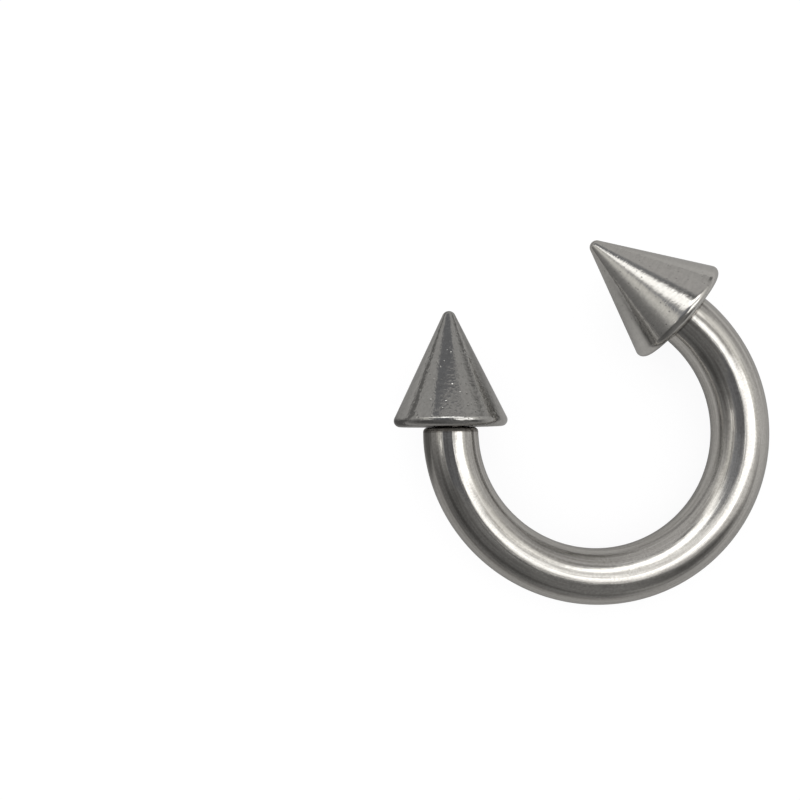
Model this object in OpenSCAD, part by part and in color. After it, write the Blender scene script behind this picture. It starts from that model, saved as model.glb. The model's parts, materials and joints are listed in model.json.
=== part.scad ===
// Horseshoe barbell: an open ring of round steel bar whose two ends carry screw-on spikes.
// The ring is drawn flat about its own centre with the gap towards +Y, then laid down
// so that its far side and the rims of both spikes touch the plane z = 0.

/* [Bar] */
// Diameter of the round bar
bar_d = 4; // [3:0.1:5]
// Inner diameter of the ring
ring_inner_d = 17; // [15:0.5:22]
// Angle left open between the two ends of the bend, at the ring's centre
gap_angle = 130; // [115:1:140]
// Straight run of the bar between the bend and its end face
end_straight = 0.35; // [0.35:0.05:1]
// Rounding of the edge round each end face
end_rounding = 0.35; // [0.2:0.05:0.35]

/* [Studs] */
// Diameter of the stud over its thread
stud_d = 2.5; // [2:0.1:2.6]
// Length of the stud beyond the bar's end face
stud_length = 4; // [3:0.1:4.2]
// Distance from one thread ring to the next
thread_pitch = 0.45; // [0.35:0.05:0.6]
// Depth of the thread groove
thread_depth = 0.25; // [0.15:0.05:0.3]
// Flat left on the thread's crest and in its root
thread_flat = 0.06; // [0.04:0.01:0.08]
// Least length of the plain neck between the end face and the thread
stud_neck = 0.3; // [0.2:0.05:0.6]

/* [Spikes] */
// Diameter of a spike over its rounded rim
spike_d = 8.2; // [7.6:0.1:9.5]
// Length of a spike from its flat base to the top of its tip
spike_length = 8.4; // [7.8:0.1:11]
// Rounding of the rim between base and flank
rim_radius = 0.45; // [0.3:0.05:0.7]
// Rounding of the tip
tip_radius = 0.5; // [0.3:0.05:0.7]
// Chamfer at the mouth of the screw hole
mouth_chamfer = 0.15; // [0.1:0.05:0.25]
// Full angle of the drill point at the bottom of the screw hole
drill_angle = 118; // [100:1:135]

/* [Fits] */
// Gap between the bar's end face and the spike's base when screwed home
seat_gap = 0.04; // [0.02:0.01:0.1]
// Radial clearance between thread crest and screw hole
thread_clearance = 0.05; // [0.02:0.01:0.1]
// Free length left past the stud's end in the screw hole
bottom_clearance = 0.3; // [0.2:0.05:0.5]

/* [Hidden] */

$fn = 96;
bar_r = bar_d / 2;
ring_r = ring_inner_d / 2 + bar_r;
half_gap = gap_angle / 2;

// The straight end is turned down by a hair and runs on into the bend as a blunt cone
turned_step = 0.01;
root_depth = 0.4;
root_taper = 0.2;
end_r = bar_r - turned_step;

// Whole thread rings fill the stud from its rounded-off top down to its neck
stud_r = stud_d / 2;
core_r = stud_r - thread_depth;
thread_rings = floor((stud_length - stud_neck - 2 * thread_depth) / thread_pitch);
thread_start = end_straight + stud_length - thread_depth - thread_rings * thread_pitch;
stud_top = end_straight + stud_length;

hole_r = stud_r + thread_clearance;
hole_depth = seat_gap + stud_length + bottom_clearance;

// Where the spike's base lies along the stud's axis, counted from the end of the bend
spike_base = end_straight + seat_gap;

// The flank is the common tangent of the rim circle and the tip circle
rim_centre = [spike_d / 2 - rim_radius, rim_radius];
tip_centre = [0, spike_length - tip_radius];
centre_run = tip_centre - rim_centre;
flank_angle = atan2(-centre_run.x, centre_run.y) + asin((rim_radius - tip_radius) / norm(centre_run));
flank_normal = [cos(flank_angle), sin(flank_angle)];

// The ring leans by the angle at which the bar's far side and both rims are equally low:
// lever * s - lift = rim_centre.x * sqrt(1 - (s * sin(half_gap))^2), with s the sine of the lean
lever = ring_r * (1 + cos(half_gap)) + (spike_base + rim_radius) * sin(half_gap);
lift = rim_radius - bar_r;
lean_a = pow(lever, 2) + pow(rim_centre.x * sin(half_gap), 2);
lean_b = lever * lift;
lean_c = pow(lift, 2) - pow(rim_centre.x, 2);
lean = asin((lean_b + sqrt(pow(lean_b, 2) - lean_a * lean_c)) / lean_a);

// The ring's centre stands so that the whole is centred on the origin and touches z = 0
far_y = -ring_r * cos(lean) - bar_r;
tip_y = (ring_r * cos(half_gap) + (spike_base + tip_centre.y) * sin(half_gap)) * cos(lean) + tip_radius;
ring_centre = [0, -(far_y + tip_y) / 2, ring_r * sin(lean) + bar_r];

// Puts a shape drawn round the ring's centre where the ring lies
module laid_down() {
    translate(ring_centre)
        rotate([lean, 0, 0])
            children();
}

// Puts a shape drawn along +Z on one end of the bend, pointing into the gap
module at_right_end() {
    rotate([0, 0, 90 - half_gap])
        translate([ring_r, 0, 0])
            rotate([-90, 0, 0])
                children();
}

module at_left_end() {
    mirror([1, 0, 0])
        at_right_end()
            children();
}

// Outline of one thread ring whose lower crest flat is centred on height z
function thread_ring(z) = [
    [stud_r, z + thread_flat / 2],
    [core_r, z + (thread_pitch - thread_flat) / 2],
    [core_r, z + (thread_pitch + thread_flat) / 2],
    [stud_r, z + thread_pitch - thread_flat / 2]
];

// Half section of the bar's straight end with its stud, before the end's edge is rounded
function end_profile() = concat(
    [
        [0, -root_depth],
        [end_r - root_taper, -root_depth],
        [end_r, 0],
        [end_r, end_straight],
        [core_r, end_straight],
        [core_r, thread_start - thread_depth]
    ],
    [for (i = [0 : thread_rings - 1], p = thread_ring(thread_start + i * thread_pitch)) p],
    [
        [core_r, stud_top],
        [0, stud_top]
    ]
);

// The same section with the edge round the end face rounded off
module end_section() {
    difference() {
        polygon(end_profile());
        translate([end_r - end_rounding, end_straight - end_rounding])
            difference() {
                square(2 * end_rounding);
                circle(r = end_rounding);
            }
    }
}

// The bent bar with a stud on each end
module bar() {
    color("silver")
        laid_down()
            union() {
                rotate_extrude(angle = 360 - gap_angle, start = 90 + half_gap)
                    translate([ring_r, 0])
                        circle(r = bar_r);
                at_right_end() rotate_extrude() end_section();
                at_left_end() rotate_extrude() end_section();
            }
}

// Half section of a spike without its hole
module spike_section() {
    polygon([
        [0, 0],
        [rim_centre.x, 0],
        rim_centre + rim_radius * flank_normal,
        tip_centre + tip_radius * flank_normal,
        tip_centre
    ]);
    translate(rim_centre) circle(r = rim_radius);
    intersection() {
        translate(tip_centre) circle(r = tip_radius);
        translate([0, tip_centre.y]) square(tip_radius);
    }
}

// A spike standing on its base, with its blind screw hole
module spike() {
    difference() {
        rotate_extrude() spike_section();
        translate([0, 0, -mouth_chamfer])
            cylinder(h = hole_depth + mouth_chamfer, r = hole_r);
        translate([0, 0, -mouth_chamfer])
            cylinder(h = 2 * mouth_chamfer, r1 = hole_r + 2 * mouth_chamfer, r2 = hole_r);
        translate([0, 0, hole_depth])
            cylinder(h = hole_r / tan(drill_angle / 2), r1 = hole_r, r2 = 0);
    }
}

module spike_left() {
    color("silver")
        laid_down()
            at_left_end()
                translate([0, 0, spike_base])
                    spike();
}

module spike_right() {
    color("silver")
        laid_down()
            at_right_end()
                translate([0, 0, spike_base])
                    spike();
}

bar();
spike_left();
spike_right();
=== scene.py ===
"""Horseshoe barbell: the looks of the bent bar and its two screw-on spikes.

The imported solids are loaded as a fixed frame. The bar and the spikes are then drawn again as fine
surfaces of the same shape, each a grid of points in two parameters, so that they mirror the studio
without facets. Lengths are in metres. Each surface carries its own coordinates in millimetres, which
the finishes use for marks that follow the surface.
"""

import json
import logging
import math
from dataclasses import dataclass, replace
from enum import Enum
from typing import Any

import bpy
import numpy as np
from mathutils import Matrix, Vector

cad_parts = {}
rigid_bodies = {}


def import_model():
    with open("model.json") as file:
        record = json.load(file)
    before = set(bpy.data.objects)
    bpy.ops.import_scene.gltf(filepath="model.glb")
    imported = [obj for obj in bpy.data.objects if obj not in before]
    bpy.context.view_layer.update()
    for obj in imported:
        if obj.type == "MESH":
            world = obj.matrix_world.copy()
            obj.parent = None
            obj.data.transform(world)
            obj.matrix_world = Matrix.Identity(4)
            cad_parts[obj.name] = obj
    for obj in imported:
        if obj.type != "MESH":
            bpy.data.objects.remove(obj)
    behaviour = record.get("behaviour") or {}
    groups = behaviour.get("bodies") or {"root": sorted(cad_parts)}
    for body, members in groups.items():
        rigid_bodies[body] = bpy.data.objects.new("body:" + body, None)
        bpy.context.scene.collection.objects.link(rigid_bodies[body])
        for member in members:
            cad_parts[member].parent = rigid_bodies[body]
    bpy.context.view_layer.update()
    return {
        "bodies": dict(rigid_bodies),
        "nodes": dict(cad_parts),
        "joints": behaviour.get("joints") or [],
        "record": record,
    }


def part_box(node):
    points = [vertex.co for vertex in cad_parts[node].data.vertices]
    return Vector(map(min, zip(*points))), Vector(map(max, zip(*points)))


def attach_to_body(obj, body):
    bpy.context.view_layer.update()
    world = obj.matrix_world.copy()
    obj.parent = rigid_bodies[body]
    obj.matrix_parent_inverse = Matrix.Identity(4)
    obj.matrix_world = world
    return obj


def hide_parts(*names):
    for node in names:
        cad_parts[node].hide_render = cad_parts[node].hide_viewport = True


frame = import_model()

MM = 0.001
MICRON = 0.000001
SURFACE_COORDS = "surface_coords"
CUT_THREAD = "cut_thread"
FROM_JOINT = "from_joint"
# Lengths that differ by less than this count as the same.
LENGTH_SLACK = 1e-9
# How far the camera's picture is turned against the object's frame, about Z.
PICTURE_TURN = math.radians(26.06)

Color = tuple[float, float, float]
Spot = tuple[float, float, float]
Rows = tuple[np.ndarray, np.ndarray, np.ndarray]
Socket = bpy.types.NodeSocket
Nodes = bpy.types.NodeTree
Value = Any

# Light of the ground as the camera sees it.
PALE_GROUND: Color = (1.03, 1.03, 1.035)

log = logging.getLogger("horseshoe_barbell")


class Side(Enum):
    """The two ends of the ring, with the sign of the side of x that each lies on."""

    LEFT = -1
    RIGHT = 1

    @property
    def body(self) -> str:
        """Name of the body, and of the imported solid, of the spike on this side."""
        return f"spike_{self.name.lower()}"

    @property
    def joint(self) -> str:
        """Name of the joint that unscrews the spike on this side."""
        return f"{self.body}_unscrew"


class Slot(Enum):
    """The record's material slots."""

    BAR = "bar_steel"
    SPIKE = "spike_steel"


def smooth_step(share: np.ndarray) -> np.ndarray:
    """Eases from 0 to 1 by 3 s squared minus 2 s cubed, with s the share held between 0 and 1.

    Args:
        share: how far along the ease each value is.

    Returns:
        The eased values.
    """
    held = np.clip(share, 0.0, 1.0)
    return held * held * (3.0 - 2.0 * held)


def full_turn(columns: int) -> np.ndarray:
    """Even angles once round."""
    return np.linspace(0.0, 2.0 * math.pi, columns, endpoint=False)


def circle(columns: int) -> np.ndarray:
    """Cosine and sine of even angles once round."""
    turn = full_turn(columns)
    return np.stack([np.cos(turn), np.sin(turn)], axis=-1)


def finish_coords(reach: np.ndarray, along: np.ndarray) -> np.ndarray:
    """What the finishes read: the circle times its reach, and the distance along, in millimetres.

    Args:
        reach: distance from the axis, rows by columns.
        along: distance along the axis of each row.

    Returns:
        Rows by columns by 3.
    """
    level = reach[..., None] * circle(reach.shape[1])
    return np.dstack([level, np.broadcast_to(along[:, None], reach.shape)]) / MM


def arc(centre: tuple[float, float], radius: float, start: float, stop: float, steps: int) -> np.ndarray:
    """Points on a circle: the centre plus the radius times the sine and cosine of an even run of angles.

    Args:
        centre: height along the axis and distance from it.
        radius: radius of the circle.
        start: first angle, counted from straight out towards the top of the axis.
        stop: last angle.
        steps: number of equal steps.

    Returns:
        Array of (height, distance) rows.
    """
    angle = np.linspace(start, stop, steps + 1)
    return np.stack([centre[0] + radius * np.sin(angle), centre[1] + radius * np.cos(angle)], axis=-1)


def rounded(corners: list[tuple[float, float, float]], steps: int = 5) -> np.ndarray:
    """An outline of straight runs whose corners are rounded.

    Each corner gives way to the arc that touches both its runs. The arc starts and ends at the
    corner's radius divided by the tangent of half the corner's angle from the corner, and its centre
    lies on the corner's bisector.

    Args:
        corners: height, distance from the axis and rounding of each corner.
        steps: number of steps in each arc.

    Returns:
        Array of (height, distance) rows.
    """
    spots = np.array(corners)[:, :2]
    pieces = [spots[:1]]
    for before, spot, after, radius in zip(spots, spots[1:], spots[2:], np.array(corners)[1:, 2]):
        if radius <= 0.0:
            pieces.append(spot[None])
            continue
        inward = (before - spot) / np.linalg.norm(before - spot)
        onward = (after - spot) / np.linalg.norm(after - spot)
        half = math.acos(float(np.clip(inward @ onward, -1.0, 1.0))) / 2.0
        middle = (inward + onward) / np.linalg.norm(inward + onward)
        centre = spot + middle * radius / math.sin(half)
        first = spot + inward * radius / math.tan(half) - centre
        last = spot + onward * radius / math.tan(half) - centre
        share = np.linspace(0.0, 1.0, steps + 1)[:, None]
        sweep = math.pi - 2.0 * half
        ring = (np.sin((1.0 - share) * sweep) * first + np.sin(share * sweep) * last) / math.sin(sweep)
        pieces.append(centre + ring)
    return np.vstack([*pieces, spots[-1:]])


def refined(outline: np.ndarray, longest: float) -> np.ndarray:
    """The same outline with points added, each run cut into the fewest equal steps that are short enough.

    Args:
        outline: array of points.
        longest: longest step that may stay.

    Returns:
        Array of points along the same outline.
    """
    steps = np.linalg.norm(np.diff(outline, axis=0), axis=1)
    slack = 1e-6
    cuts = np.maximum(1, np.ceil(steps / longest - slack)).astype(int)
    run = np.repeat(np.arange(len(cuts)), cuts)
    share = (np.arange(cuts.sum()) - np.repeat(np.cumsum(cuts) - cuts, cuts)) / np.repeat(cuts, cuts)
    inner = outline[run] + share[:, None] * (outline[run + 1] - outline[run])
    return np.vstack([inner, outline[-1:]])


def joined(*outlines: np.ndarray) -> np.ndarray:
    """The outlines one after another, without the points that repeat the one before them."""
    points = np.vstack(outlines)
    step = np.linalg.norm(np.diff(points, axis=0), axis=1)
    return points[np.concatenate([[True], step > LENGTH_SLACK])]


def attach(mesh: bpy.types.Mesh, name: str, values: np.ndarray) -> None:
    """Stores a number, or a vector of three, for each vertex.

    Args:
        mesh: the mesh.
        name: name of its new attribute.
        values: one value or one row for each vertex.
    """
    kind, field = ("FLOAT", "value") if values.ndim == 1 else ("FLOAT_VECTOR", "vector")
    attribute = mesh.attributes.new(name, kind, "POINT")
    attribute.data.foreach_set(field, values.astype(np.float32).ravel())


def placed(name: str, data: Any) -> bpy.types.Object:
    """Puts a mesh or the camera's data into the scene, as an object at the origin."""
    made = bpy.data.objects.new(name, data)
    bpy.context.scene.collection.objects.link(made)
    return made


@dataclass(frozen=True)
class ClosedSurface:
    """A closed surface on a grid: rows run from pole to pole, and columns run once round.

    Attributes:
        points: rows by columns by 3, with all points of the first row in one place, and of the last.
        coords: what the finishes read at each point, in millimetres, rows by columns by 3.
        thread: 1 where the surface is cut thread and 0 where it is polished, rows by columns.
        from_joint: distance from where a spike sits on the bar, in millimetres, rows by columns.
        turned: whether the faces run the other way round, so that they look outwards.
    """

    points: np.ndarray
    coords: np.ndarray
    thread: np.ndarray
    from_joint: np.ndarray
    turned: bool = False

    def normals(self) -> np.ndarray:
        """Outward normals: the cross product of the central differences along rows and columns.

        Returns:
            Unit vectors, rows by columns by 3, with the poles facing along the surface's own end.
        """
        along = np.empty_like(self.points)
        along[1:-1] = self.points[2:] - self.points[:-2]
        along[[0, -1]] = 1.0
        across = np.roll(self.points, -1, axis=1) - np.roll(self.points, 1, axis=1)
        normal = np.cross(along, across) * (-1.0 if self.turned else 1.0)
        for pole, beside, towards in ((0, 1, 1.0), (-1, -2, -1.0)):
            normal[pole] = np.cross(
                self.points[beside] - self.points[pole],
                np.roll(self.points[beside], -1, axis=0) - self.points[beside],
            ).sum(axis=0) * (-towards if self.turned else towards)
        return normal / np.linalg.norm(normal, axis=-1, keepdims=True)

    @staticmethod
    def by_vertex(grid: np.ndarray) -> np.ndarray:
        """One value for each vertex: the inner rows in order, then the two poles."""
        inner = grid[1:-1].reshape(-1, *grid.shape[2:])
        return np.concatenate([inner, grid[0, :1], grid[-1, :1]])

    def faces(self) -> list[list[int]]:
        """Quads between the inner rows and a fan of triangles at each pole."""
        rows, columns = self.points.shape[:2]
        here = np.arange(columns)
        following = (here + 1) % columns
        row = np.arange(rows - 3)[:, None] * columns
        quads = np.stack([row + here, row + columns + here, row + columns + following, row + following], -1)
        first = (rows - 2) * columns
        last_row = (rows - 3) * columns
        start = np.stack([np.full(columns, first), here, following], -1)
        stop = np.stack([np.full(columns, first + 1), last_row + following, last_row + here], -1)
        order = slice(None, None, -1) if self.turned else slice(None)
        groups = (quads.reshape(-1, 4), start, stop)
        return [face for group in groups for face in group[:, order].tolist()]

    def build(self, name: str) -> bpy.types.Object:
        """Puts the surface into a mesh object at the origin.

        Args:
            name: name of the object and of its mesh.

        Returns:
            The object, smooth shaded, with what the finishes read as attributes.
        """
        mesh = bpy.data.meshes.new(name)
        mesh.from_pydata(self.by_vertex(self.points).tolist(), [], self.faces())
        attach(mesh, SURFACE_COORDS, self.by_vertex(self.coords))
        attach(mesh, CUT_THREAD, self.by_vertex(self.thread))
        attach(mesh, FROM_JOINT, self.by_vertex(self.from_joint))
        mesh.shade_smooth()
        mesh.normals_split_custom_set_from_vertices(self.by_vertex(self.normals()).tolist())
        log.info("%s: %d vertices, %d faces", name, len(mesh.vertices), len(mesh.polygons))
        return placed(name, mesh)


@dataclass(frozen=True)
class RingPlace:
    """How the bar is bent and how the ring lies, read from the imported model.

    Attributes:
        bar_radius: radius of the round bar.
        ring_radius: radius of the bar's centre line round the ring's centre.
        half_gap: half the angle that the bend leaves open.
        lean: angle by which the ring's plane rises towards the gap.
        centre: the ring's centre.
    """

    bar_radius: float
    ring_radius: float
    half_gap: float
    lean: float
    centre: np.ndarray

    @classmethod
    def from_frame(cls, packed: dict[str, Any]) -> "RingPlace":
        """Reads the ring from the seat, the bar's box and the axis of the right spike's joint.

        The seat is the middle of the bend, as high above the floor as the bar's radius. The bar's box
        is as wide as the bend, and its corner is a vertex of a mesh, so it is rounded to a grid. The
        joint's axis is the bend's tangent at its end, laid down with the ring.


        Returns:
            The ring's place.
        """
        seat = np.array(packed["record"]["mounts"][0]["pos_m"])
        axis = next(joint["axis"] for joint in packed["joints"] if joint["name"] == Side.RIGHT.joint)
        grid = 0.05 * MM
        reach = grid * round(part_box("bar")[1].x / grid)
        ring_radius = reach - seat[2]
        lean = math.atan2(axis[2], axis[1])
        centre = seat + ring_radius * np.array([0.0, math.cos(lean), math.sin(lean)])
        return cls(seat[2], ring_radius, math.acos(-axis[0]), lean, centre)

    def laid_down(self, points: np.ndarray) -> np.ndarray:
        """Turns points drawn round the ring's centre by the lean about X and moves them to that centre."""
        cosine, sine = math.cos(self.lean), math.sin(self.lean)
        x, y, z = np.moveaxis(points, -1, 0)
        return np.stack([x, y * cosine - z * sine, y * sine + z * cosine], axis=-1) + self.centre

    def end_angle(self, side: Side) -> float:
        """Polar angle of an end of the bend, round the ring's centre."""
        return math.pi / 2.0 - side.value * self.half_gap

    def end_frame(self, side: Side) -> tuple[np.ndarray, np.ndarray, np.ndarray, np.ndarray]:
        """The end of the bend and the directions there, before the ring is laid down.

        Args:
            side: which end.

        Returns:
            The point, the direction off the end, the direction away from the ring's centre, and the
            cross product of the last two, which completes a right-handed set.
        """
        angle = self.end_angle(side)
        outward = np.array([math.cos(angle), math.sin(angle), 0.0])
        off = side.value * np.array([-math.sin(angle), math.cos(angle), 0.0])
        return self.ring_radius * outward, off, outward, np.cross(outward, off)


@dataclass(frozen=True)
class ScrewThread:
    """A screw thread with slanting flanks and narrow flats.

    Attributes:
        pitch: travel in one turn.
        depth: depth of the groove.
        flat: width of the flat on the crest and in the root.
        fineness: longest step of a surface that shows the thread.
    """

    pitch: float = 0.45 * MM
    depth: float = 0.25 * MM
    flat: float = 0.06 * MM
    fineness: float = 0.032 * MM

    def groove(self, along: np.ndarray, turn: np.ndarray) -> np.ndarray:
        """Depth of the groove as a share of its full depth.

        The helix climbs one pitch a turn. In each pitch the share is 0 on the crest's flat, rises evenly
        along the flank, is 1 on the root's flat and falls evenly again.

        Args:
            along: travel along the screw's axis.
            turn: angle round the axis, signed so that the thread is right-handed.

        Returns:
            Shares from 0 on the crest to 1 in the root.
        """
        place = np.mod(along / self.pitch - turn / (2.0 * math.pi), 1.0)
        from_crest = np.minimum(place, 1.0 - place) * self.pitch
        flank = self.pitch / 2.0 - self.flat
        return np.clip((from_crest - self.flat / 2.0) / flank, 0.0, 1.0)


@dataclass(frozen=True)
class BentBar:
    """The round bar: an open ring with a short straight end and a threaded stud at each end.

    Attributes:
        place: how the ring is bent and lies.
        thread: the screw thread of both studs.
        end_straight: straight run between the bend and the end face.
        end_rounding: rounding of the edge round the end face.
        turned_step: how much thinner the turned straight end is than the bend, in radius.
        turned_run: length over which the bend thins to the turned end.
        stud_radius: radius over the thread.
        stud_length: length of the stud beyond the end face.
        stud_neck: plain neck between the end face and the foot of the thread.
        edge: rounding of the turned edges.
        columns: points round the bar.
        bend_step: longest step along the bend.
    """

    place: RingPlace
    thread: ScrewThread
    end_straight: float = 0.35 * MM
    end_rounding: float = 0.35 * MM
    turned_step: float = 0.01 * MM
    turned_run: float = 0.8 * MM
    stud_radius: float = 1.25 * MM
    stud_length: float = 4.0 * MM
    stud_neck: float = 0.25 * MM
    edge: float = 0.05 * MM
    columns: int = 128
    bend_step: float = 0.14 * MM

    @property
    def stud_top(self) -> float:
        """Distance of the stud's end from the end of the bend."""
        return self.end_straight + self.stud_length

    def end_outline(self) -> np.ndarray:
        """Half section of an end, from the stud's tip to the end of the bend.

        Returns:
            Rows of distance off the end of the bend and radius, over the thread's crests.
        """
        core = self.stud_radius - self.thread.depth
        end_radius = self.place.bar_radius - self.turned_step
        foot = self.end_straight + self.stud_neck
        stud = rounded([
            (self.stud_top, 0.0, 0.0),
            (self.stud_top, core, self.edge),
            (self.stud_top - self.thread.depth, self.stud_radius, self.edge),
            (foot + self.thread.depth, self.stud_radius, self.edge),
            (foot, core, self.edge),
            (self.end_straight, core, self.edge),
            (self.end_straight, end_radius - self.end_rounding, 0.0),
        ])
        corner = (self.end_straight - self.end_rounding, end_radius - self.end_rounding)
        shoulder = np.vstack([
            arc(corner, self.end_rounding, math.pi / 2.0, 0.0, steps=16),
            [(0.0, end_radius)],
        ])
        return joined(refined(stud, self.thread.fineness), refined(shoulder, self.bend_step))

    def end_rows(self, side: Side) -> Rows:
        """Centres, outward directions and radii of an end's rows, from the stud's tip inwards.

        Args:
            side: which end.

        Returns:
            Arrays of points, directions and radii, the last with one column for each point round.
        """
        start, off, outward, _ = self.place.end_frame(side)
        distance, radius = self.end_outline().T
        groove = self.thread.groove(distance[:, None], -side.value * full_turn(self.columns))
        crest = self.stud_radius - self.thread.depth * groove
        on_stud = distance[:, None] > self.end_straight + LENGTH_SLACK
        radii = np.where(on_stud, np.minimum(radius[:, None], crest), radius[:, None])
        centres = start + distance[:, None] * off
        return centres, np.broadcast_to(outward, centres.shape), radii

    def bend_rows(self) -> Rows:
        """Centres, outward directions and radii along the bend, from the left end to the right one.

        The centre line is a circle about the ring's centre. The radius is the bar's own, less the turned
        step, which is eased in over the last stretch before each end.

        Returns:
            Arrays of points, directions and radii.
        """
        first, last = self.place.end_angle(Side.LEFT), self.place.end_angle(Side.RIGHT) + 2.0 * math.pi
        steps = math.ceil((last - first) * self.place.ring_radius / self.bend_step)
        angle = np.linspace(first, last, steps + 1)[1:-1]
        outward = np.stack([np.cos(angle), np.sin(angle), np.zeros_like(angle)], axis=-1)
        from_end = np.minimum(angle - first, last - angle) * self.place.ring_radius
        radius = self.place.bar_radius - self.turned_step * (1.0 - smooth_step(from_end / self.turned_run))
        return outward * self.place.ring_radius, outward, np.repeat(radius[:, None], self.columns, axis=1)

    def surface(self) -> ClosedSurface:
        """The whole bar as one closed surface.

        A point is the row's centre plus the row's radius times the cosine of the angle round the bar
        along the outward direction and its sine along the ring's axis. The finish's coordinates are the
        same circle in millimetres and the distance travelled along the rows.

        Returns:
            The surface, from the left stud's tip to the right one's.
        """
        left, bend, right = self.end_rows(Side.LEFT), self.bend_rows(), self.end_rows(Side.RIGHT)
        centres, outward, radii = (
            np.concatenate([start, middle, stop[::-1]]) for start, middle, stop in zip(left, bend, right)
        )
        spokes = circle(self.columns)
        upward = np.array([0.0, 0.0, 1.0])
        offset = spokes[:, :1] * outward[:, None, :] + spokes[:, 1:] * upward
        points = self.place.laid_down(centres[:, None, :] + radii[..., None] * offset)
        steps = np.linalg.norm(np.diff(centres, axis=0), axis=1)
        travel = np.concatenate([[0.0], np.cumsum(steps)])
        thread = (radii < self.stud_radius + self.edge).astype(float)
        from_face = np.abs(np.minimum(travel, travel[-1] - travel) - self.stud_length) / MM
        from_joint = np.broadcast_to(from_face[:, None], radii.shape)
        return ClosedSurface(points, finish_coords(radii, travel), thread, from_joint)

    def build(self) -> bpy.types.Object:
        """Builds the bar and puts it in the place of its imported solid."""
        piece = self.surface().build("bar_surface")
        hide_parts("bar")
        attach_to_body(piece, "bar")
        return piece


@dataclass(frozen=True)
class Spike:
    """A cone with a rounded rim and tip and a blind screw hole.

    Attributes:
        place: how the ring is bent and lies.
        thread: the thread of the stud that it screws on.
        side: the end that it sits on.
        base_offset: distance of its base from the end of the bend.
        radius: largest radius, over the rounded rim.
        length: length from the flat base to the top of the tip.
        rim_radius: rounding between base and flank.
        tip_radius: rounding of the tip.
        hole_radius: radius of the screw hole.
        hole_depth: depth of the hole's straight wall.
        hole_groove: depth of the thread cut into the hole's wall.
        hole_runout: plain wall left at the bottom of the hole.
        mouth_chamfer: chamfer at the mouth of the hole.
        drill_half_angle: half the angle of the drill's point.
        edge: rounding of the turned edges.
        columns: points round the spike.
        flank_step: longest step along the flank.
    """

    place: RingPlace
    thread: ScrewThread
    side: Side
    base_offset: float = 0.39 * MM
    radius: float = 4.1 * MM
    length: float = 8.4 * MM
    rim_radius: float = 0.45 * MM
    tip_radius: float = 0.5 * MM
    hole_radius: float = 1.3 * MM
    hole_depth: float = 4.34 * MM
    hole_groove: float = 0.18 * MM
    hole_runout: float = 0.5 * MM
    mouth_chamfer: float = 0.15 * MM
    drill_half_angle: float = math.radians(59.0)
    edge: float = 0.04 * MM
    columns: int = 168
    flank_step: float = 0.2 * MM

    def outline(self) -> np.ndarray:
        """Half section from the tip over the rim into the bottom of the hole.

        The flank is the common tangent of the tip's circle and the rim's circle: it leans by the angle
        of the line between their centres and by the arc sine of the difference of their radii over the
        distance of their centres.

        Returns:
            Rows of height above the base and distance from the axis.
        """
        rim = (self.rim_radius, self.radius - self.rim_radius)
        tip = (self.length - self.tip_radius, 0.0)
        rise, run = tip[0] - rim[0], rim[1]
        flank = math.atan2(run, rise) + math.asin((self.rim_radius - self.tip_radius) / math.hypot(rise, run))
        outside = np.vstack([
            arc(tip, self.tip_radius, math.pi / 2.0, flank, steps=14),
            arc(rim, self.rim_radius, flank, -math.pi / 2.0, steps=20),
        ])
        mouth = self.hole_radius + self.mouth_chamfer
        base = rounded([
            (0.0, rim[1], 0.0),
            (0.0, mouth, self.edge),
            (self.mouth_chamfer, self.hole_radius, self.edge),
            (2.0 * self.mouth_chamfer, self.hole_radius, 0.0),
        ])
        hole = np.array([
            (2.0 * self.mouth_chamfer, self.hole_radius),
            (self.hole_depth, self.hole_radius),
        ])
        point = np.array([
            (self.hole_depth, self.hole_radius),
            (self.hole_depth + self.hole_radius / math.tan(self.drill_half_angle), 0.0),
        ])
        return joined(
            refined(outside, self.flank_step),
            refined(base, 2.0 * self.flank_step),
            refined(hole, self.thread.fineness),
            refined(point, 2.0 * self.flank_step),
        )

    def surface(self) -> ClosedSurface:
        """The spike as one closed surface of revolution, with a helical groove in its hole.

        A point is the base's centre plus the height along the axis plus the distance from it times the
        cosine and sine of the angle round it. In the hole the distance grows by the groove's depth
        where the stud has its crest, which fades in at the mouth and out at the bottom.

        Returns:
            The surface, from the tip to the bottom of the hole.
        """
        start, off, outward, sideways = self.place.end_frame(self.side)
        height, distance = self.outline().T
        past_wall = distance - self.hole_radius
        on_wall = (past_wall > -LENGTH_SLACK) & (past_wall < self.mouth_chamfer)
        hole = on_wall & (height > self.mouth_chamfer) & (height < self.hole_depth + LENGTH_SLACK)
        crest = 1.0 - self.thread.groove(self.base_offset + height[:, None], -full_turn(self.columns))
        fade = smooth_step((height - self.mouth_chamfer) / self.thread.pitch)
        fade = fade * smooth_step((self.hole_depth - self.hole_runout - height) / self.thread.pitch)
        reach = distance[:, None] + self.hole_groove * crest * (fade * hole)[:, None]
        spokes = circle(self.columns)
        centres = start + (self.base_offset + height[:, None]) * off
        offset = spokes[:, :1] * outward + spokes[:, 1:] * sideways
        points = self.place.laid_down(centres[:, None, :] + reach[..., None] * offset)
        thread = np.broadcast_to(hole[:, None], reach.shape).astype(float)
        past_bar = np.maximum(distance - self.place.bar_radius, 0.0)
        from_bar = np.broadcast_to((np.hypot(height, past_bar) / MM)[:, None], reach.shape)
        return ClosedSurface(points, finish_coords(reach, height), thread, from_bar, turned=True)

    def build(self) -> bpy.types.Object:
        """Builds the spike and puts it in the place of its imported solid."""
        piece = self.surface().build(f"{self.side.body}_surface")
        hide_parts(self.side.body)
        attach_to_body(piece, self.side.body)
        return piece


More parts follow.
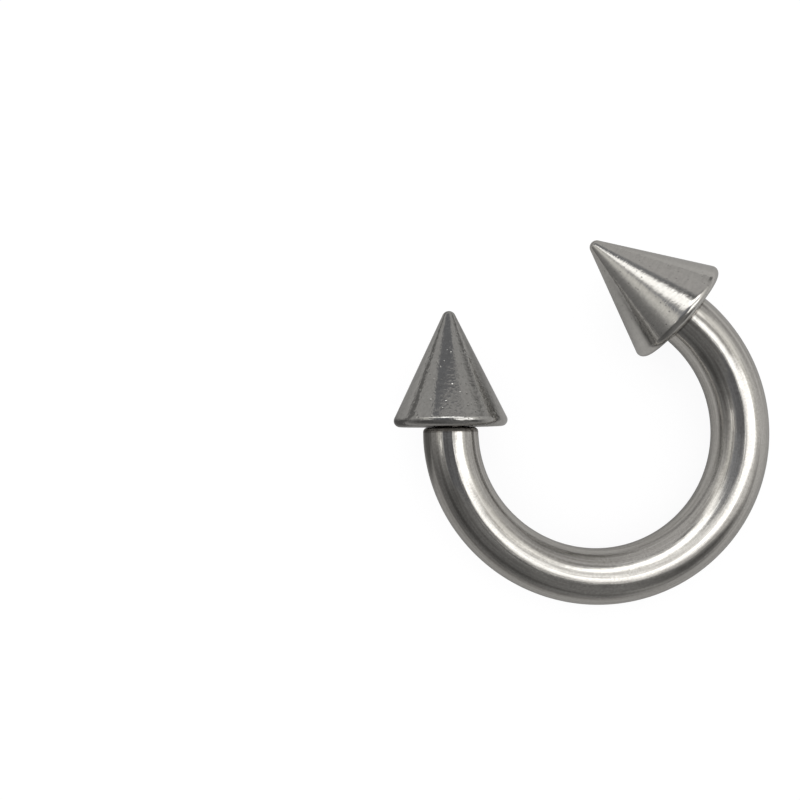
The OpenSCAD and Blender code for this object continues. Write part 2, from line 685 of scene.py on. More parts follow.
class Graph:
    """A node tree with short ways to add nodes and to link them."""

    def __init__(self, tree: Nodes) -> None:
        """Keeps the tree."""
        self.tree = tree

    @classmethod
    def emptied(cls, owner: bpy.types.ID) -> "Graph":
        """The graph of a new material's or world's own nodes, with none left in it."""
        owner.use_nodes = True
        owner.node_tree.nodes.clear()
        return cls(owner.node_tree)

    def feed(self, socket: Socket, value: Value) -> None:
        """Links the value if it is a socket, and otherwise stores it on the socket itself."""
        if isinstance(value, Socket):
            self.tree.links.new(value, socket)
        else:
            socket.default_value = value

    def add(self, kind: str, inputs: dict[Any, Value] | None = None, **settings: Value) -> bpy.types.Node:
        """Adds a node.

        Args:
            kind: the node's type.
            inputs: values or sockets for its inputs, by name or number.
            **settings: the node's properties.

        Returns:
            The node.
        """
        node = self.tree.nodes.new(kind)
        for name, value in settings.items():
            setattr(node, name, value)
        for key, value in (inputs or {}).items():
            self.feed(node.inputs[key], value)
        return node

    def out(self, kind: str, inputs: dict[Any, Value] | None = None, **settings: Value) -> Socket:
        """First output of a node that is added with these values and properties."""
        return self.add(kind, inputs, **settings).outputs[0]

    def math(self, operation: str, *values: Value, clamp: bool = False) -> Socket:
        """Result of a Math node."""
        return self.out("ShaderNodeMath", dict(enumerate(values)), operation=operation, use_clamp=clamp)

    def vector(self, operation: str, *values: Value) -> Socket:
        """Result of a Vector Math node, its number for LENGTH and DOT_PRODUCT and else its vector."""
        node = self.add("ShaderNodeVectorMath", dict(enumerate(values)), operation=operation)
        return node.outputs["Value" if operation in ("LENGTH", "DOT_PRODUCT") else "Vector"]

    def weighed(self, start: Value, *terms: tuple[Value, float]) -> Socket:
        """The start plus each value times its weight."""
        for value, weight in terms:
            start = self.math("MULTIPLY_ADD", value, weight, start)
        return start

    def blend(self, factor: Value, a: Value, b: Value) -> Socket:
        """Colour between a and b."""
        opaque = {6: a if isinstance(a, Socket) else (*a, 1.0)}
        opaque[7] = b if isinstance(b, Socket) else (*b, 1.0)
        return self.add("ShaderNodeMix", {0: factor, **opaque}, data_type="RGBA").outputs[2]

    def shade(self, factor: Value, a: Value, b: Value) -> Socket:
        """Shader between a and b."""
        return self.out("ShaderNodeMixShader", {0: factor, 1: a, 2: b})

    def ease(self, value: Value, start: Value, stop: Value) -> Socket:
        """Smooth step of a value from 0 at the start to 1 at the stop."""
        inputs = {"Value": value, "From Min": start, "From Max": stop}
        return self.out("ShaderNodeMapRange", inputs, interpolation_type="SMOOTHSTEP")

    def between(self, share: Value, low: Value, high: Value) -> Socket:
        """Number between low and high."""
        return self.out("ShaderNodeMapRange", {"Value": share, "To Min": low, "To Max": high})

    def turn(self, vector: Value, angle: Value) -> Socket:
        """The vector turned about Z."""
        return self.out("ShaderNodeVectorRotate", {"Vector": vector, "Angle": angle}, rotation_type="Z_AXIS")

    def parts(self, vector: Value) -> Value:
        """Outputs X, Y and Z of a vector."""
        return self.add("ShaderNodeSeparateXYZ", {0: vector}).outputs

    def attribute(self, name: str) -> Value:
        """Outputs Fac and Vector of one of the mesh's attributes."""
        return self.add("ShaderNodeAttribute", attribute_name=name).outputs

    def group(self, group: Nodes, inputs: dict[str, Value], label: str = "") -> Socket:
        """Output of a node group that is placed with its own values."""
        return self.out("ShaderNodeGroup", inputs, node_tree=group, label=label)


class Port(Enum):
    """The kinds of socket that the groups have."""

    NUMBER = "NodeSocketFloat"
    VECTOR = "NodeSocketVector"


def new_group(name: str, inputs: dict[str, Port], outputs: dict[str, Port]) -> tuple[Graph, Value, Value]:
    """Makes an empty shader node group with named sockets.

    Args:
        name: the group's name.
        inputs: kinds of the inputs by name.
        outputs: kinds of the outputs by name.

    Returns:
        The group's graph, its input node's outputs and its output node's inputs.
    """
    tree = bpy.data.node_groups.new(name, "ShaderNodeTree")
    for direction, sockets in (("INPUT", inputs), ("OUTPUT", outputs)):
        for socket, kind in sockets.items():
            tree.interface.new_socket(name=socket, in_out=direction, socket_type=kind.value)
    graph = Graph(tree)
    return graph, graph.add("NodeGroupInput").outputs, graph.add("NodeGroupOutput").inputs


def uneven_group() -> Nodes:
    """Unevenness of polished metal: a noise whose waves are drawn out along the surface's directions.

    With long thin waves it gives the lines left by polishing, with short round ones orange peel and
    grain, and with wide ones the patches where the polish is duller.

    Returns:
        Group with inputs Coords, Waves, along each of them and per millimetre, Detail and Roughness,
        and output Height, round zero.
    """
    inputs = {name: Port.VECTOR for name in ("Coords", "Waves")}
    inputs |= {name: Port.NUMBER for name in ("Detail", "Roughness")}
    graph, given, result = new_group("uneven_polish", inputs, {"Height": Port.NUMBER})
    noise = graph.out("ShaderNodeTexNoise", {
        "Vector": graph.vector("MULTIPLY", given["Coords"], given["Waves"]),
        "Scale": 1.0,
        "Detail": given["Detail"],
        "Roughness": given["Roughness"],
    })
    graph.feed(result["Height"], graph.math("SUBTRACT", noise, 0.5))
    return graph.tree


def pits_group() -> Nodes:
    """Small pits: round dips in a few of the cells of a cell pattern.

    A cell holds a pit where its own random number is below the share, and the pit eases from 1 at the
    cell's point to 0 at the reach, in cells.

    Returns:
        Group with inputs Coords, Cells per millimetre, Share and Reach, and output Mask.
    """
    inputs = {"Coords": Port.VECTOR, "Cells": Port.NUMBER, "Share": Port.NUMBER, "Reach": Port.NUMBER}
    graph, given, result = new_group("pits", inputs, {"Mask": Port.NUMBER})
    cells = graph.add("ShaderNodeTexVoronoi", {"Vector": given["Coords"], "Scale": given["Cells"]})
    chosen = graph.math("LESS_THAN", graph.parts(cells.outputs["Color"])["X"], given["Share"])
    dip = graph.ease(cells.outputs["Distance"], given["Reach"], 0.0)
    graph.feed(result["Mask"], graph.math("MULTIPLY", chosen, dip))
    return graph.tree


@dataclass(frozen=True)
class Effects:
    """The surface effects that all finishes use, each built once as a node group."""

    uneven: Nodes
    pits: Nodes

    @classmethod
    def build(cls) -> "Effects":
        """Builds the groups."""
        return cls(uneven_group(), pits_group())


@dataclass(frozen=True)
class Steel:
    """Bare polished stainless steel, with marks whose sizes and heights each piece sets for itself.

    Attributes:
        name: the material's name.
        tone: colour of the clean steel.
        dull_tone: colour where it is pitted or cut, in the hollows, and of the painted shade at the joint.
        base_shade: how far the clean steel is from its tone towards the dull one.
        roughness: roughness of the brightest polish.
        satin_roughness: roughness where the polish is satin.
        satin_reach: distance from the joint at which the polish has turned satin, in millimetres.
        patch_roughness: roughness that the duller patches add.
        cut_roughness: roughness in the cut thread.
        lines_across: polishing lines per millimetre across them.
        lines_along: the same along them.
        lines_height: height of the lines.
        lines_shade: how much darker the lines' hollows are.
        lines_roughness: roughness that the lines' crests add.
        peel_fineness: waves of orange peel per millimetre.
        peel_height: height of the orange peel.
        grain_fineness: waves of the fine grain per millimetre.
        grain_height: height of the grain.
        grain_shade: how much darker the grain's hollows are.
        pit_cells: cells for pits per millimetre.
        pit_share: share of the cells that hold one.
        pit_reach: reach of a pit, in cells.
        pit_depth: depth of a pit.
        pit_shade: how much darker a pit or the cut thread is.
        patch_fineness: waves of the duller patches per millimetre.
        residue_reach: distance from the joint, in millimetres, over which shade is painted into
            the colour, standing in for the shadow and reflection of the spike's dark base.
        residue_shade: how dark that painted shade is.
        residue_softness: share of that distance over which the painted shade fades, on either side.
        patch_levels: heights of the patches' noise between which the polish turns dull.
    """

    name: str
    tone: Color
    dull_tone: Color
    base_shade: float
    roughness: float
    satin_roughness: float
    satin_reach: float
    patch_roughness: float
    cut_roughness: float
    lines_across: float
    lines_along: float
    lines_height: float
    lines_shade: float
    lines_roughness: float
    peel_fineness: float
    peel_height: float
    grain_fineness: float
    grain_height: float
    grain_shade: float
    pit_cells: float
    pit_share: float
    pit_reach: float
    pit_depth: float
    pit_shade: float
    patch_fineness: float
    residue_reach: float
    residue_shade: float
    residue_softness: float = 0.1
    patch_levels: tuple[float, float] = (-0.14, 0.16)

    def dress(self, piece: bpy.types.Object, effects: Effects) -> None:
        """Builds the material and gives it to the piece.

        Args:
            piece: the piece to dress.
            effects: the shared node groups.
        """
        material = bpy.data.materials.new(self.name)
        graph = Graph.emptied(material)
        coords = graph.attribute(SURFACE_COORDS)["Vector"]
        thread = graph.attribute(CUT_THREAD)["Fac"]
        from_joint = graph.attribute(FROM_JOINT)["Fac"]
        marks = []
        for across, along, detail, roughness in (
            (self.lines_across, self.lines_along, 3.0, 0.6),
            (self.peel_fineness, self.peel_fineness, 1.0, 0.5),
            (self.grain_fineness, self.grain_fineness, 1.0, 0.5),
            (self.patch_fineness, self.patch_fineness, 4.0, 0.62),
        ):
            waves = {"Waves": (across, across, along), "Detail": detail, "Roughness": roughness}
            marks.append(graph.group(effects.uneven, {"Coords": coords, **waves}))
        lines, peel, grain, patch = marks
        patch = graph.ease(patch, *self.patch_levels)
        cells = {"Cells": self.pit_cells, "Share": self.pit_share, "Reach": self.pit_reach}
        pit = graph.group(effects.pits, {"Coords": coords, **cells})
        worn = graph.weighed(self.base_shade, (grain, -self.grain_shade))
        worn = graph.math("MULTIPLY_ADD", lines, -self.lines_shade, worn, clamp=True)
        # Painted shade at the joint: the colour darkens towards where a spike sits on the bar, standing in
        # for the shadow and reflection of the spike's dark base.
        outer = self.residue_reach * (1.0 + self.residue_softness)
        inner = self.residue_reach * (1.0 - self.residue_softness)
        painted_joint_shade = graph.ease(from_joint, outer, inner)
        spots = graph.math("MAXIMUM", pit, thread)
        # Darker spots: the pits and cut thread, plus the painted shade at the joint.
        spots = graph.weighed(0.0, (spots, self.pit_shade), (painted_joint_shade, self.residue_shade))
        tone = graph.blend(graph.math("ADD", worn, spots, clamp=True), self.tone, self.dull_tone)
        satin = graph.ease(from_joint, 0.0, self.satin_reach)
        crests = graph.math("MAXIMUM", lines, 0.0)
        roughness = graph.between(satin, self.roughness, self.satin_roughness)
        roughness = graph.weighed(roughness, (patch, self.patch_roughness), (crests, self.lines_roughness))
        roughness = graph.between(thread, roughness, self.cut_roughness)
        relief = graph.weighed(
            0.0,
            (lines, self.lines_height / MICRON),
            (peel, self.peel_height / MICRON),
            (grain, self.grain_height / MICRON),
            (pit, -self.pit_depth / MICRON),
        )
        normal = graph.out("ShaderNodeBump", {"Strength": 1.0, "Distance": MICRON, "Height": relief})
        surface = graph.out(
            "ShaderNodeBsdfPrincipled",
            {"Base Color": tone, "Metallic": 1.0, "Roughness": roughness, "Normal": normal},
        )
        graph.add("ShaderNodeOutputMaterial", {"Surface": surface})
        piece.data.materials.append(material)
        log.info("%s wears %s", piece.name, self.name)


BAR_STEEL = Steel(
    name="polished_bar_steel",
    tone=(0.7, 0.688, 0.666),
    dull_tone=(0.21, 0.193, 0.176),
    base_shade=0.16,
    roughness=0.05,
    satin_roughness=0.14,
    satin_reach=11.0,
    patch_roughness=0.05,
    cut_roughness=0.32,
    lines_across=4.0,
    lines_along=0.1,
    lines_height=9.0 * MICRON,
    lines_shade=1.5,
    lines_roughness=0.5,
    peel_fineness=0.6,
    peel_height=22.0 * MICRON,
    grain_fineness=6.5,
    grain_height=1.5 * MICRON,
    grain_shade=0.5,
    pit_cells=1.1,
    pit_share=0.1,
    pit_reach=0.12,
    pit_depth=9.0 * MICRON,
    pit_shade=0.7,
    patch_fineness=0.35,
    # Painted shade near the joint with the spikes.
    residue_reach=0.4,
    residue_shade=0.5,
)
RIGHT_SPIKE_STEEL = Steel(
    name="tumbled_spike_steel",
    tone=(0.72, 0.71, 0.69),
    dull_tone=(0.26, 0.255, 0.247),
    base_shade=0.15,
    roughness=0.06,
    satin_roughness=0.1,
    satin_reach=8.0,
    patch_roughness=0.05,
    cut_roughness=0.34,
    lines_across=0.5,
    lines_along=6.0,
    lines_height=5.0 * MICRON,
    lines_shade=0.25,
    lines_roughness=0.1,
    peel_fineness=1.6,
    peel_height=6.0 * MICRON,
    grain_fineness=4.5,
    grain_height=3.5 * MICRON,
    grain_shade=0.3,
    pit_cells=5.0,
    pit_share=0.16,
    pit_reach=0.36,
    pit_depth=5.0 * MICRON,
    pit_shade=0.7,
    patch_fineness=0.8,
    # Painted shade near the joint with the bar.
    residue_reach=0.1,
    residue_shade=0.5,
)
# The left spike is the same steel as the right one, with its tone painted darker to stand in for the darker
# surroundings that it mirrors. Its orange peel, grain and pits differ too.
LEFT_SPIKE_STEEL_PAINTED_DARKER = replace(
    RIGHT_SPIKE_STEEL,
    name="tumbled_spike_steel_greyer",
    tone=(0.54, 0.537, 0.527),
    peel_height=11.0 * MICRON,
    grain_height=14.0 * MICRON,
    grain_shade=0.6,
    pit_cells=4.0,
    pit_share=0.22,
    pit_reach=0.42,
    pit_depth=15.0 * MICRON,
    pit_shade=0.2,
)
SPIKE_STEELS = {Side.LEFT: LEFT_SPIKE_STEEL_PAINTED_DARKER, Side.RIGHT: RIGHT_SPIKE_STEEL}


@dataclass(frozen=True)
class Card:
    """A soft-edged light or dark card that hangs round the object.

    Its place is given from straight above the object, in degrees to the right and upwards in the
    camera's picture.

    Attributes:
        name: what it stands for.
        right: middle of the card, to the right.
        up: middle of the card, upwards.
        half_width: half its width.
        half_height: half its height.
        turn: how far it is turned, anticlockwise.
        softness: half the width of its soft edge.
        light: colour and strength of its light.
    """

    name: str
    right: float
    up: float
    half_width: float
    half_height: float
    turn: float
    softness: float
    light: Color


STUDIO_CARDS = (
    Card("back_wall", 0.0, 56.0, 26.0, 9.0, 0.0, 10.0, (0.44, 0.43, 0.417)),
    Card("far_left", -80.0, -6.0, 18.0, 15.0, 0.0, 10.0, (0.245, 0.24, 0.232)),
    Card("left_glow", -49.0, 10.0, 7.0, 14.0, 0.0, 8.0, (0.72, 0.705, 0.66)),
    Card("right_side", 62.0, 2.0, 17.0, 24.0, 0.0, 14.0, (0.54, 0.53, 0.51)),
    Card("right_glow", 45.0, 12.0, 10.0, 16.0, 0.0, 9.0, (0.86, 0.84, 0.79)),
    Card("low_side", -20.0, -62.0, 88.0, 48.0, 0.0, 13.0, (0.145, 0.143, 0.14)),
    Card("low_left_shade", -50.0, -45.0, 15.0, 14.0, 0.0, 11.0, (0.08, 0.079, 0.077)),
    Card("low_shade", -30.0, -70.0, 16.0, 16.0, 0.0, 12.0, (0.1, 0.099, 0.097)),
    Card("low_streak", 16.0, -60.0, 14.0, 22.0, 0.0, 12.0, (0.178, 0.175, 0.17)),
    Card("low_right", 48.0, -76.0, 14.0, 12.0, 0.0, 12.0, (0.3, 0.295, 0.285)),
    Card("low_right_shade", 46.0, -46.0, 6.0, 9.0, 0.0, 6.0, (0.1, 0.099, 0.096)),
    Card("high_right_shade", 46.0, 68.0, 19.0, 7.0, -35.0, 9.0, (0.135, 0.133, 0.13)),
    Card("window_frame", -4.0, 40.0, 30.0, 3.5, 0.0, 3.0, (0.29, 0.285, 0.28)),
    Card("frame_line", -13.0, 40.5, 12.0, 1.8, 0.0, 1.6, (0.1, 0.1, 0.1)),
    Card("curtain", -42.0, 28.0, 15.0, 6.5, -8.0, 8.0, (0.97, 0.95, 0.9)),
    Card("window_side", -24.0, 27.0, 12.0, 7.0, 0.0, 4.0, (1.55, 1.53, 1.48)),
    Card("window", 3.5, 24.5, 20.5, 9.0, 0.0, 2.6, (2.4, 2.38, 2.32)),
    Card("window_blind", 21.0, 33.0, 14.0, 4.0, -20.0, 2.5, (0.38, 0.372, 0.362)),
    Card("window_foot", 10.0, 7.0, 12.0, 11.0, 0.0, 3.0, (0.98, 0.965, 0.93)),
    Card("window_gap", 25.5, 19.0, 0.8, 14.0, -8.0, 1.5, (0.35, 0.345, 0.33)),
    Card("window_next", 31.0, 19.0, 4.0, 8.0, 0.0, 4.0, (1.45, 1.42, 1.35)),
    Card("sill", 40.0, -20.0, 22.0, 6.0, 0.0, 7.0, (0.74, 0.72, 0.69)),
    Card("side_window", 29.0, -8.0, 18.0, 8.0, 22.0, 4.0, (2.2, 2.18, 2.13)),
    Card("side_window_foot", 17.0, -18.0, 8.0, 5.0, -20.0, 3.0, (1.6, 1.58, 1.53)),
    Card("flag", -13.5, -8.0, 18.0, 11.0, 14.0, 1.8, (0.138, 0.139, 0.145)),
    Card("flag_top", -21.0, 6.0, 18.5, 9.0, 0.0, 3.0, (0.25, 0.255, 0.266)),
    Card("flag_lamp", -43.0, -9.5, 1.5, 3.0, 0.0, 2.0, (1.9, 1.86, 1.76)),
)


# Ray depth between that of light mirrored once, 2 at the world, and of light mirrored twice, 3.
MIRRORED_AGAIN = 2.5


def dome_group() -> Nodes:
    """Where a direction lies round the object, in degrees from straight above.

    The direction is turned into the picture's frame. Its angle from straight above is split between
    right and up in the proportion of its two level parts.

    Returns:
        Group with input Direction and output Point, whose X is right and Y up.
    """
    graph, given, result = new_group("dome_angles", {"Direction": Port.VECTOR}, {"Point": Port.VECTOR})
    turned = graph.turn(given["Direction"], PICTURE_TURN)
    level = graph.vector("MULTIPLY", turned, (1.0, 1.0, 0.0))
    angle = graph.math("DEGREES", graph.math("ARCCOSINE", graph.parts(turned)["Z"]))
    shortest = 0.0001
    share = graph.math("DIVIDE", angle, graph.math("MAXIMUM", graph.vector("LENGTH", level), shortest))
    spread = graph.out("ShaderNodeVectorMath", {0: level, "Scale": share}, operation="SCALE")
    graph.feed(result["Point"], spread)
    return graph.tree


def soft_card_group() -> Nodes:
    """A turned rectangle with a soft edge.

    The point is brought into the card's own directions. The larger of its distances past the half
    width and the half height is eased from 1 inside to 0 outside across the soft edge.

    Returns:
        Group with the point, the card's place, size, turn and softness as inputs, and output Mask.
    """
    inputs = {name: Port.VECTOR for name in ("Point", "Place", "Half Size")}
    inputs |= {name: Port.NUMBER for name in ("Back Turn", "Softness")}
    graph, given, result = new_group("soft_card", inputs, {"Mask": Port.NUMBER})
    own = graph.turn(graph.vector("SUBTRACT", given["Point"], given["Place"]), given["Back Turn"])
    past = graph.parts(graph.vector("SUBTRACT", graph.vector("ABSOLUTE", own), given["Half Size"]))
    farther = graph.math("MAXIMUM", past["X"], past["Y"])
    graph.feed(result["Mask"], graph.ease(graph.math("DIVIDE", farther, given["Softness"]), 1.0, -1.0))
    return graph.tree


@dataclass(frozen=True)
class Studio:
    """The surroundings: soft cards for the steel, even light for the floor, pale for the camera.

    Attributes:
        cards: lights and flags, from the farthest to the nearest.
        plain: light of the plain surroundings behind the cards.
        echo_share: share of the cards' light that steel mirrored in steel keeps, the rest being plain.
        even: light that falls on the floor, the same from all sides.
    """

    cards: tuple[Card, ...] = STUDIO_CARDS
    plain: Color = (0.44, 0.431, 0.417)
    echo_share: float = 0.3
    even: Color = (1.0, 0.98, 0.95)

    def light_world(self, shape: Nodes) -> None:
        """Builds the world.

        Args:
            shape: the soft rectangle's group.
        """
        world = bpy.data.worlds.new("studio")
        bpy.context.scene.world = world
        graph = Graph.emptied(world)
        direction = graph.add("ShaderNodeTexCoord").outputs["Generated"]
        point = graph.group(dome_group(), {"Direction": direction})
        light = self.plain
        for card in self.cards:
            mask = graph.group(shape, {
                "Point": point,
                "Place": (card.right, card.up, 0.0),
                "Half Size": (card.half_width, card.half_height, 0.0),
                "Back Turn": -math.radians(card.turn),
                "Softness": card.softness,
            }, label=card.name)
            light = graph.blend(mask, light, card.light)
        ray = graph.add("ShaderNodeLightPath").outputs
        again = graph.math("GREATER_THAN", ray["Ray Depth"], MIRRORED_AGAIN)
        light = graph.blend(graph.math("MULTIPLY", again, 1.0 - self.echo_share), light, self.plain)
        mirrored = graph.out("ShaderNodeBackground", {"Color": light})
        even = graph.out("ShaderNodeBackground", {"Color": (*self.even, 1.0)})
        pale = graph.out("ShaderNodeBackground", {"Color": (*PALE_GROUND, 1.0)})
        unseen = graph.shade(ray["Is Glossy Ray"], even, mirrored)
        shown = graph.shade(ray["Is Camera Ray"], unseen, pale)
        graph.add("ShaderNodeOutputWorld", {"Surface": shown})
        log.info("studio: %d cards", len(self.cards))


def staged(name: str, corners: np.ndarray, material: bpy.types.Material) -> bpy.types.Object:
    """Adds a flat stage piece of one face.

    Args:
        name: name of the object and of its mesh.
        corners: its corners in order.
        material: what it is made of.

    Returns:
        The object.
    """
    mesh = bpy.data.meshes.new(name)
    mesh.from_pydata(corners.tolist(), [], [list(range(len(corners)))])
    mesh.materials.append(material)
    piece = placed(name, mesh)
    log.info("%s: on stage", name)
    return piece


@dataclass(frozen=True)
class Flag:
    """A small dark flag close by, which only the steel mirrors.

    Places are given as right, up and off the floor in the camera's picture.

    Attributes:
        place: its middle.
        aim: point that it faces.
        size: half its width and half its height.
        slant: how far its right side leans out at the top and in at the foot.
        softness: half the width of its soft sides, and of its soft top and foot.
        light: light that it gives.
        reach: distances at which it starts to fade and has faded away.
    """

    place: Spot = (-18.0 * MM, 34.8 * MM, 25.9 * MM)
    aim: Spot = (-14.3 * MM, 4.0 * MM, 0.6 * MM)
    size: tuple[float, float] = (14.0 * MM, 8.3 * MM)
    slant: float = 8.0 * MM
    softness: tuple[float, float] = (3.0 * MM, 1.5 * MM)
    light: Color = (0.2, 0.202, 0.209)
    reach: tuple[float, float] = (46.0 * MM, 50.0 * MM)

    def cloth(self, shape: Nodes) -> bpy.types.Material:
        """The flag's own grey inside its soft edge, clear outside it and to whatever lies too far off.

        Args:
            shape: the soft rectangle's group.

        Returns:
            The material.
        """
        material = bpy.data.materials.new("flag_cloth")
        graph = Graph.emptied(material)
        mask = graph.group(shape, {
            "Point": graph.attribute(SURFACE_COORDS)["Vector"],
            "Half Size": (*np.divide(self.size, self.softness), 0.0),
            "Softness": 1.0,
        })
        length = graph.add("ShaderNodeLightPath").outputs["Ray Length"]
        mask = graph.math("MULTIPLY", mask, graph.ease(length, self.reach[1], self.reach[0]))
        grey = graph.out("ShaderNodeEmission", {"Color": (*self.light, 1.0)})
        surface = graph.shade(mask, graph.out("ShaderNodeBsdfTransparent"), grey)
        graph.add("ShaderNodeOutputMaterial", {"Surface": surface})
        return material

    def hang(self, shape: Nodes) -> None:
        """Hangs the flag so that it faces its aim.

        Its corners are its middle plus and minus its half width along the level direction across the
        line of sight, and its half height along the cross product of the two, each with the soft edge
        added and the right side slanting. Its own coordinates count in soft edges from its middle.

        Args:
            shape: the soft rectangle's group.
        """
        place = np.array(self.place)
        sight = (place - self.aim) / np.linalg.norm(place - self.aim)
        level = np.cross((0.0, 0.0, 1.0), sight)
        level /= np.linalg.norm(level)
        signs = np.array([(-1.0, -1.0), (1.0, -1.0), (1.0, 1.0), (-1.0, 1.0)])
        spots = signs * np.add(self.size, self.softness)
        lean = np.where(signs[:, :1] < 0.0, self.slant * signs[:, 1:], 0.0)
        x, y, z = (place + (spots[:, :1] - lean) * level + spots[:, 1:] * np.cross(sight, level)).T
        cosine, sine = math.cos(PICTURE_TURN), math.sin(PICTURE_TURN)
        corners = np.stack([x * cosine + y * sine, y * cosine - x * sine, z], axis=-1)
        flag = staged("studio_flag", corners, self.cloth(shape))
        attach(flag.data, SURFACE_COORDS, np.pad(spots / self.softness, ((0, 0), (0, 1))))
        flag.visible_camera = flag.visible_diffuse = flag.visible_shadow = False


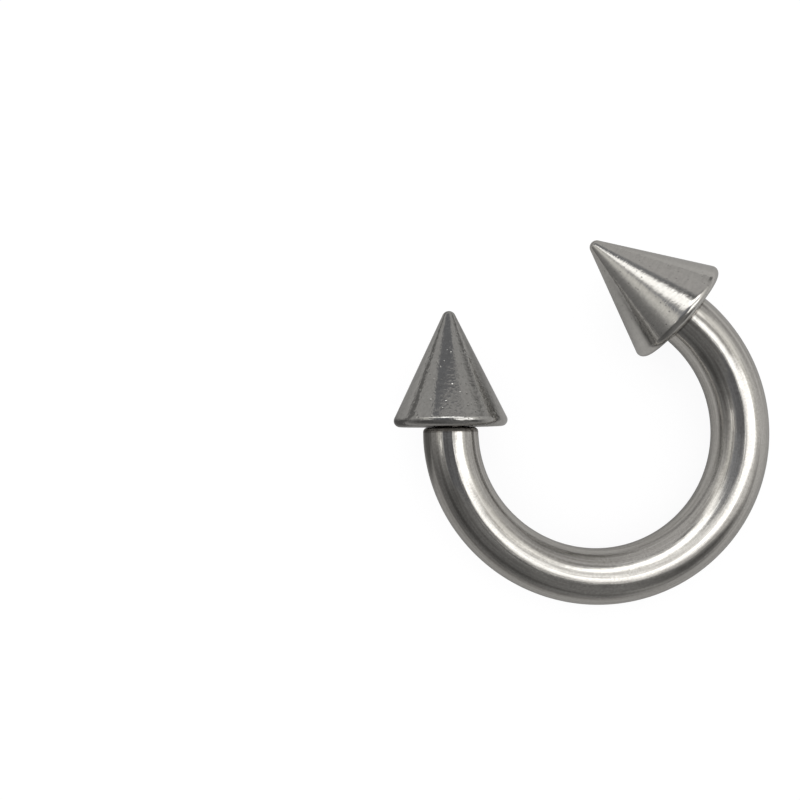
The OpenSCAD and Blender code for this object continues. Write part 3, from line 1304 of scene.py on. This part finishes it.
@dataclass(frozen=True)
class Floor:
    """A round floor: pale to the camera, with faint soft shadows, and greyer to the steel, with light and
    shade painted into that grey.

    Attributes:
        radius: its radius.
        sides: number of its sides.
        drop: how far it lies below the object, so that they don't share a plane.
        inner_albedo: share of light that it returns to the steel from inside the ring, lighter than outside:
            painted light.
        near_albedo: the same just outside it.
        light_albedo: the same far off on its painted light side.
        dark_albedo: the same far off on the other sides, where shade is painted.
        light_bearing: bearing of the painted light side in the picture, anticlockwise from its right.
        light_edge: cosines of the bearing from that side at which the painted light starts and is full.
        inner_reach: distance up to which the floor counts as inside the ring.
        near_reach: distance up to which it counts as near.
        far_reach: distance from which it counts as far.
        patch_place: middle of a painted light patch, in the picture's directions.
        patch_radius: its radius, all of it soft edge.
        patch_albedo: share of light that it returns in the middle.
        strip_albedo: share of light that a painted dark strip returns, to the picture's left, standing in for
            shade and reflections from beside the object.
        strip_edge: how far to the picture's right the strip starts and is full.
        strip_line: how far up the strip's middle lies in the picture.
        strip_width: half its width, soft edge and all.
        strip_core: share of that width in which it is full.
        shade_share: share of the floor's light in the camera's picture that real shadows can take away.
    """

    radius: float = 1.6
    sides: int = 96
    drop: float = 1.0 * MICRON
    inner_albedo: float = 0.53
    near_albedo: float = 0.4
    light_albedo: float = 0.55
    dark_albedo: float = 0.18
    light_bearing: float = math.radians(25.0)
    light_edge: tuple[float, float] = (-0.2, 0.95)
    inner_reach: float = 4.0 * MM
    near_reach: float = 9.0 * MM
    far_reach: float = 52.0 * MM
    patch_place: Spot = (-25.0 * MM, 13.0 * MM, 0.0)
    patch_radius: float = 14.0 * MM
    patch_albedo: float = 0.5
    strip_albedo: float = 0.12
    strip_edge: tuple[float, float] = (-12.0 * MM, -18.0 * MM)
    strip_line: float = -1.5 * MM
    strip_width: float = 5.5 * MM
    strip_core: float = 0.4
    shade_share: float = 0.12

    def grey(self, graph: Graph) -> Socket:
        """Grey of the floor for the steel, with light and shade painted into it: lighter inside the ring,
        even just outside it, and far off painted light to one side and painted shade on the others.

        Far off, the grey is eased by the cosine of the bearing from the painted light side. From near to far
        it is eased between two distances. A painted light patch lies to the upper left of the object, and a
        painted dark strip to its left.

        Args:
            graph: the floor material's graph.

        Returns:
            The grey as a number.
        """
        spot = graph.add("ShaderNodeTexCoord").outputs["Object"]
        reach = graph.math("MAXIMUM", graph.vector("LENGTH", spot), self.drop)
        # Painted light to one side of the far floor and painted shade on the others.
        bearing = self.light_bearing - PICTURE_TURN
        towards = graph.vector("DOT_PRODUCT", spot, (math.cos(bearing), math.sin(bearing), 0.0))
        side = graph.ease(graph.math("DIVIDE", towards, reach), *self.light_edge)
        far = graph.between(side, self.dark_albedo, self.light_albedo)
        # Painted light inside the ring.
        outside = graph.ease(reach, self.inner_reach, self.near_reach)
        near = graph.between(outside, self.inner_albedo, self.near_albedo)
        grey = graph.between(graph.ease(reach, self.near_reach, self.far_reach), near, far)
        # A painted light patch and a painted dark strip.
        turned = graph.turn(spot, PICTURE_TURN)
        from_painted_light_patch = graph.vector("LENGTH", graph.vector("SUBTRACT", turned, self.patch_place))
        grey = graph.between(graph.ease(from_painted_light_patch, self.patch_radius, 0.0), grey, self.patch_albedo)
        place = graph.parts(turned)
        off_line = graph.math("ABSOLUTE", graph.math("SUBTRACT", place["Y"], self.strip_line))
        across = graph.ease(off_line, self.strip_width, self.strip_core * self.strip_width)
        painted_shade_strip = graph.math("MULTIPLY", graph.ease(place["X"], *self.strip_edge), across)
        return graph.between(painted_shade_strip, grey, self.strip_albedo)

    def lay(self) -> None:
        """Lays the floor. Its corners are its radius times the cosine and sine of even angles."""
        material = bpy.data.materials.new("floor_paint")
        graph = Graph.emptied(material)
        seen = graph.add("ShaderNodeLightPath").outputs["Is Camera Ray"]
        glow = graph.out(
            "ShaderNodeEmission", {"Color": (*PALE_GROUND, 1.0), "Strength": 1.0 - self.shade_share}
        )
        shade_tone = (*(part * self.shade_share for part in PALE_GROUND), 1.0)
        shaded = graph.out("ShaderNodeBsdfDiffuse", {"Color": shade_tone})
        picture = graph.out("ShaderNodeAddShader", {0: glow, 1: shaded})
        # What the steel mirrors: the grey with its painted light and shade.
        paint = graph.out("ShaderNodeBsdfDiffuse", {"Color": self.grey(graph)})
        graph.add("ShaderNodeOutputMaterial", {"Surface": graph.shade(seen, paint, picture)})
        rim = np.pad(self.radius * circle(self.sides), ((0, 0), (0, 1)), constant_values=-self.drop)
        staged("studio_floor", rim, material)


@dataclass(frozen=True)
class Camera:
    """The camera, close above the barbell and a little to its left.

    Attributes:
        place: where it stands.
        tilt: angle between its line of sight and straight down.
        tilt_azimuth: direction on the floor towards which the camera is moved off straight above.
        up_azimuth: direction on the floor that is upright in the picture.
        lens: focal length in millimetres.
        sensor: width of the sensor in millimetres.
        near: nearest distance that it sees.
        far: farthest distance that it sees.
    """

    place: Spot = (-14.085 * MM, -2.888 * MM, 68.561 * MM)
    tilt: float = math.radians(9.903)
    tilt_azimuth: float = math.radians(258.26)
    up_azimuth: float = math.radians(64.35)
    lens: float = 40.5
    sensor: float = 36.0
    near: float = 1.0 * MM
    far: float = 5.0

    def set_up(self) -> None:
        """Makes the camera and has the scene use it."""
        level = math.sin(self.tilt)
        back = Vector((
            level * math.cos(self.tilt_azimuth),
            level * math.sin(self.tilt_azimuth),
            math.cos(self.tilt),
        ))
        right = Vector((math.cos(self.up_azimuth), math.sin(self.up_azimuth), 0.0)).cross(back).normalized()
        up = back.cross(right)
        data = bpy.data.cameras.new("camera")
        data.lens, data.sensor_width = self.lens, self.sensor
        data.clip_start, data.clip_end = self.near, self.far
        camera = placed("camera", data)
        camera.matrix_world = Matrix.Translation(self.place) @ Matrix((right, up, back)).transposed().to_4x4()
        bpy.context.scene.camera = camera


def main() -> None:
    """Builds the barbell's pieces, dresses them and sets up the studio."""
    logging.basicConfig(level=logging.INFO, format="%(name)s: %(message)s")
    bpy.context.scene.view_settings.view_transform = "Standard"
    Camera().set_up()
    shape = soft_card_group()
    Studio().light_world(shape)
    Flag().hang(shape)
    Floor().lay()
    place = RingPlace.from_frame(frame)
    thread = ScrewThread()
    effects = Effects.build()
    BAR_STEEL.dress(BentBar(place, thread).build(), effects)
    for side in Side:
        SPIKE_STEELS[side].dress(Spike(place, thread, side).build(), effects)


if __name__ == "__main__":
    main()
